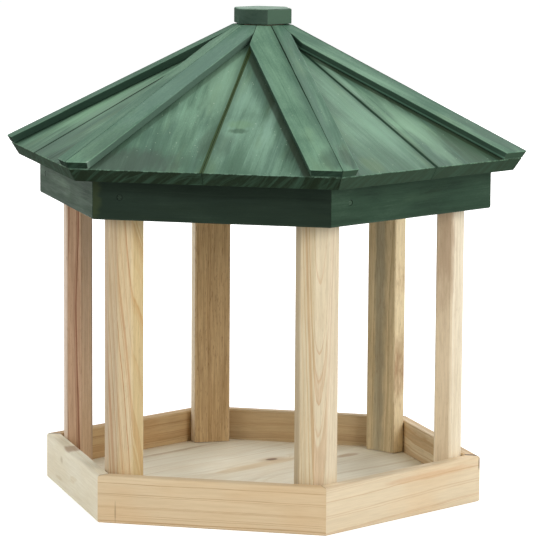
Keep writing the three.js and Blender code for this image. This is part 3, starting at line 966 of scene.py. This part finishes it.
# Looks of the boards and strips. The photograph doesn't show three of the slopes
UNSEEN_SLOPES = (3, 4, 5)
PLAIN_SLOPE = dict(tone=0.55, contrast=0.8)
ROOF_LEFT = {
    1: dict(tone=0.72, contrast=0.75, light=(132, 170, 144), spots=[
        ((66, -9), (40, 12), (142, 178, 150), 0.5), ((150, -48), (15, 34), (76, 90, 80), 0.7),
        ((128, -5), (14, 6), (64, 82, 66), 0.5)]),
    2: dict(tone=0.68, contrast=0.32, light=(132, 172, 145), spots=[
        ((100, -10), (50, 14), (130, 168, 142), 0.4), ((149, -47), (9, 9), (112, 136, 98), 0.35)]),
    **dict.fromkeys(UNSEEN_SLOPES, PLAIN_SLOPE),
    6: dict(tone=0.78, contrast=0.7, spots=[((95, -16), (34, 12), (128, 160, 136), 0.5)]),
}
ROOF_RIGHT = {
    1: dict(tone=0.80, contrast=0.6, light=(134, 170, 147), spots=[
        ((108, 28.5), (24, 3.4), (146, 182, 162), 0.4), ((129, 5), (13, 7), (66, 88, 72), 0.5),
        ((108.5, 10.5), (4.5, 7), (112, 146, 106), 0.4), ((115, 10.5), (2.6, 6.5), (50, 78, 54), 0.6)]),
    2: dict(tone=0.66, contrast=0.5, spots=[
        ((120, 22), (46, 9), (142, 178, 150), 0.45), ((64, 5), (26, 4), (150, 185, 160), 0.5),
        ((138, 44), (32, 16), (68, 90, 70), 0.75)]),
    **dict.fromkeys(UNSEEN_SLOPES, PLAIN_SLOPE),
    6: dict(tone=0.62, contrast=0.7, spots=[((141, -5), (26, 24), (88, 116, 97), 0.4)]),
}
GREEN = dict(deep=(54, 78, 62), middle=(86, 117, 97), light=(132, 172, 140), specks=0.5)
STRIP_GREEN = dict(deep=(50, 76, 60), middle=(83, 117, 97), light=(126, 163, 136), contrast=0.6, seam=0.9,
                   seam_low=0.2, specks=0.3, shine=STRIP_SHINE)
PLAIN_STRIP = dict(tone=0.5, grit=0.6)
STRIP_LOOKS = {
    # This strip's wall colour is lighter: painted light on its side wall
    "hip_strip_1_left": dict(tone=0.62, grit=0.9, seam=0.0, end=(20, 32, 22), wall=(90, 113, 99), spots=[
        ((171.5, 14.6), (1.8, 1.0), (176, 196, 180), 0.7), ((152, 8), (26, 9), (98, 122, 104), 0.5),
        ((70, 5), (72, 12), (116, 144, 131), 0.55)]),
    "hip_strip_1_right": dict(tone=0.72, grit=0.4, end=(30, 46, 36), spots=[
        ((165, -6.5), (12, 5.5), (66, 84, 74), 0.55), ((122, -3), (52, 4), (84, 110, 96), 0.35)]),
    "hip_strip_2_left": dict(tone=0.55, grit=0.4, end=(54, 72, 56), spots=[
        ((162, 9), (14, 6), (60, 78, 68), 0.6), ((100, 3), (70, 3), (98, 126, 110), 0.4)]),
    "hip_strip_2_right": dict(tone=0.64, grit=0.6, wall_line=0.8, end=(58, 78, 62), spots=[
        ((154, -8), (30, 10), (80, 104, 90), 0.7)]),
    "hip_strip_6_right": dict(tone=0.68, grit=0.9, seam=0.0),
}

# How far a strip covers the slope beside its hip, how dark the painted shade beside it is, which is partly
# stain pooled there, how dark the painted shadow at its foot is, and how much darker the boards get along the
# eave
HIP_OFFSETS = {"left": 12.5, "right": 18.5}
HIP_SHADES = {"left": 0.12, "right": 0.45}
FEET = {"left": 0.3, "right": 0.7}
EAVE_SHADE = 0.25
PLAIN_RINGS = dict(pith=(6, -70), ring=7.0, rings=0.12, wander=18)
BOARD_RINGS = {
    "roof_board_1_right": dict(pith=(-60, 70), ring=7.0, rings=0.1, wander=18),
    "roof_board_2_left": dict(pith=(-130, 70), ring=4.0, rings=0.04, wander=10),
    "roof_board_2_right": dict(pith=(-70, 70), ring=6.0, rings=0.1, wander=14),
}
FRONT_SEAM = dict(seam=1.9, seam_colour=(58, 72, 38), seam_low=0.85)
SIDE_SEAM = dict(seam=1.8, seam_colour=(8, 22, 12))
RIGHT_SEAM = dict(seam=2.1, seam_colour=(24, 46, 32))
SEAMS = {1: FRONT_SEAM, 2: RIGHT_SEAM}
PLAIN_END = (48, 64, 49)
ENDS = {1: (26, 37, 23), 6: (34, 48, 34)}


def add_roof_board(number, hand, seed, look, peak):
    board = f"roof_board_{number}_{hand}"
    normal = slope_normal(board)
    down = down_slope(normal)
    reach = (EAVE_FOOT - peak.z) / down.z
    material = stained_wood(
        f"roof_stain_{number}_{hand}", seed=seed, **(GREEN | look), **BOARD_RINGS.get(board, PLAIN_RINGS),
        hip=(HIP_OFFSETS[hand], HIP_SHADES[hand]), foot=FEET[hand], eave=(EAVE_SHADE, reach / MM),
        drift=drift_of(board, axes(down, normal), peak), end=ENDS.get(number, PLAIN_END),
        **SEAMS.get(number, SIDE_SEAM),
    )
    make_piece(board, material, down, normal, peak, EAVE_ROUND, 30 + seed)


def add_hip_strip(number, hand, seed, peak):
    strip = f"hip_strip_{number}_{hand}"
    normal = slope_normal(f"roof_board_{number}_{hand}")
    down = hip_direction(strip)
    joint, joint_drift = joint_line(strip, axes(down, normal), peak)
    material = stained_wood(
        f"strip_stain_{number}_{hand}", seed=seed + 0.5, pith=(4, -34), ring=3.4, rings=0.08, wander=6,
        **(STRIP_GREEN | STRIP_LOOKS.get(strip, PLAIN_STRIP)), seam_place=joint / MM, drift=joint_drift,
    )
    make_piece(strip, material, down, normal, peak, EAVE_ROUND, 60 + seed)


def add_roof():
    peak = roof_peak()
    for hand, first_seed, looks in (("left", 40, ROOF_LEFT), ("right", 50, ROOF_RIGHT)):
        for number, look in looks.items():
            add_roof_board(number, hand, first_seed + number, look, peak)
            add_hip_strip(number, hand, first_seed + number, peak)


# Crown. The face of the cap that looks to the right, in the cap's own axes. It is painted lighter, as painted
# light
CAP_LIT_SIDE = (0.39, -0.92, 0)


def add_crown():
    # The cap's side walls keep the dark wall colour, a painted shade
    cap = stained_wood(
        "cap_stain", (76, 100, 86), (122, 150, 132), (162, 188, 170), 0.55, 0.8,
        seed=61, pith=(3, -22), ring=3.0, wander=4, wear_and_highlight=0.4, end=(58, 78, 66),
        lit_and_shaded_sides=[(CAP_LIT_SIDE, (80, 106, 87), 0.9)],
    )
    pale = bare_wood(
        "block_wood", (222, 206, 176), (190, 156, 112), (210, 184, 146),
        seed=62, pith=(5, 3), ring=3.2, wander=4,
    )
    make_piece("roof_cap", cap, turned((1, 0, 0), STEP / 2), UP,
               centre("roof_cap"), SAWN_ROUND, 91)
    make_piece("king_block", pale, UP, Vector((0, -1, 0)), centre("king_block"),
               SAWN_ROUND, 92)
    make_piece("cap_dowel", pale, UP, Vector((0, -1, 0)), centre("cap_dowel"),
               SAWN_ROUND, 93, 0.0)


# Fasteners keep their own solids
def dress_fasteners():
    steel = zinc_steel()
    for number, look in FASCIA_LOOKS.items():
        stained = stained_steel(f"stained_nail_head_{number}", look["middle"], look["light"])
        for node, material in ((f"post_screw_{number}", steel), (f"fascia_nail_{number}", stained)):
            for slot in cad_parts[node].material_slots:
                slot.material = material


# Stage, light and camera
def seen_directly(nodes):
    """1 for what the camera sees, also in a gloss or through glass, and 0 for light on the object"""
    path = nodes.add("ShaderNodeLightPath").outputs
    seen = nodes.math("MAXIMUM", path["Is Camera Ray"], path["Is Glossy Ray"])
    return nodes.math("MAXIMUM", seen, path["Is Transmission Ray"])


def add_stage():
    mesh = bpy.data.meshes.new("studio_floor")
    corners = [(x * STAGE_REACH, y * STAGE_REACH, 0) for x, y in ((-1, -1), (1, -1), (1, 1), (-1, 1))]
    mesh.from_pydata(corners, [], [(0, 1, 2, 3)])
    ground = new_object("studio_floor", mesh)
    material, nodes = new_material("studio_white")
    plain = nodes.add("ShaderNodeBsdfDiffuse", {"Color": (*(STAGE_GREY,) * 3, 1.0)})
    strength = nodes.times(seen_directly(nodes), STAGE_GLOW)
    glow = nodes.add("ShaderNodeEmission", {"Strength": strength})
    nodes.show(nodes.add("ShaderNodeAddShader", {0: plain.outputs[0], 1: glow.outputs[0]}))
    mesh.materials.append(material)


def add_world():
    world = bpy.data.worlds.new("studio")
    bpy.context.scene.world = world
    world.use_nodes = True
    world.node_tree.nodes.clear()
    nodes = Nodes(world.node_tree)
    strength = nodes.span(seen_directly(nodes), 0.0, 1.0, SKY_STRENGTH, 1.0)
    sky = nodes.add("ShaderNodeBackground", {"Color": (1.0, 1.0, 1.0, 1.0), "Strength": strength})
    nodes.show(sky, "ShaderNodeOutputWorld")


# Lamps aim at the middle of the object. Places and sizes are in metres, power in watts
LAMPS = {
    "key_right": dict(place=(2.27, -1.51, 1.26), size=1.4, power=38.0),
    "left_fill": dict(place=(-1.9, -1.8, 1.2), size=1.4, power=21.0),
    "back": dict(place=(0.5, 2.3, 1.25), size=2.0, power=36.0),
    "top": dict(place=(0.0, 0.3, 2.8), size=1.8, power=10.0),
}


def add_lamps():
    target = Vector((0, 0, CROWN_TOP / 2))
    for name, lamp in LAMPS.items():
        light = bpy.data.lights.new(name, "AREA")
        light.size = lamp["size"]
        light.energy = lamp["power"]
        holder = new_object(name, light)
        holder.location = lamp["place"]
        holder.rotation_euler = (target - Vector(lamp["place"])).to_track_quat("-Z", "Y").to_euler()


def add_camera():
    data = bpy.data.cameras.new("photo_view")
    data.sensor_width = CAMERA_SENSOR
    data.lens = CAMERA_LENS
    data.clip_end = CAMERA_CLIP
    camera = new_object("photo_view", data)
    place = Matrix.Rotation(CAMERA_YAW, 4, "Z") @ Matrix.Translation(
        (CAMERA_SHIFT_RIGHT, -CAMERA_DISTANCE, CAMERA_HEIGHT)
    )
    tilt = Matrix.Rotation(math.pi / 2 - CAMERA_PITCH, 4, "X")
    camera.matrix_world = place @ tilt @ Matrix.Rotation(CAMERA_ROLL, 4, "Z")
    bpy.context.scene.camera = camera


add_camera()
add_stage()
add_world()
add_lamps()
add_floor()
add_rails()
add_posts()
add_fascia()
add_roof()
add_crown()
dress_fasteners()
bpy.context.scene.view_settings.view_transform = "Standard"
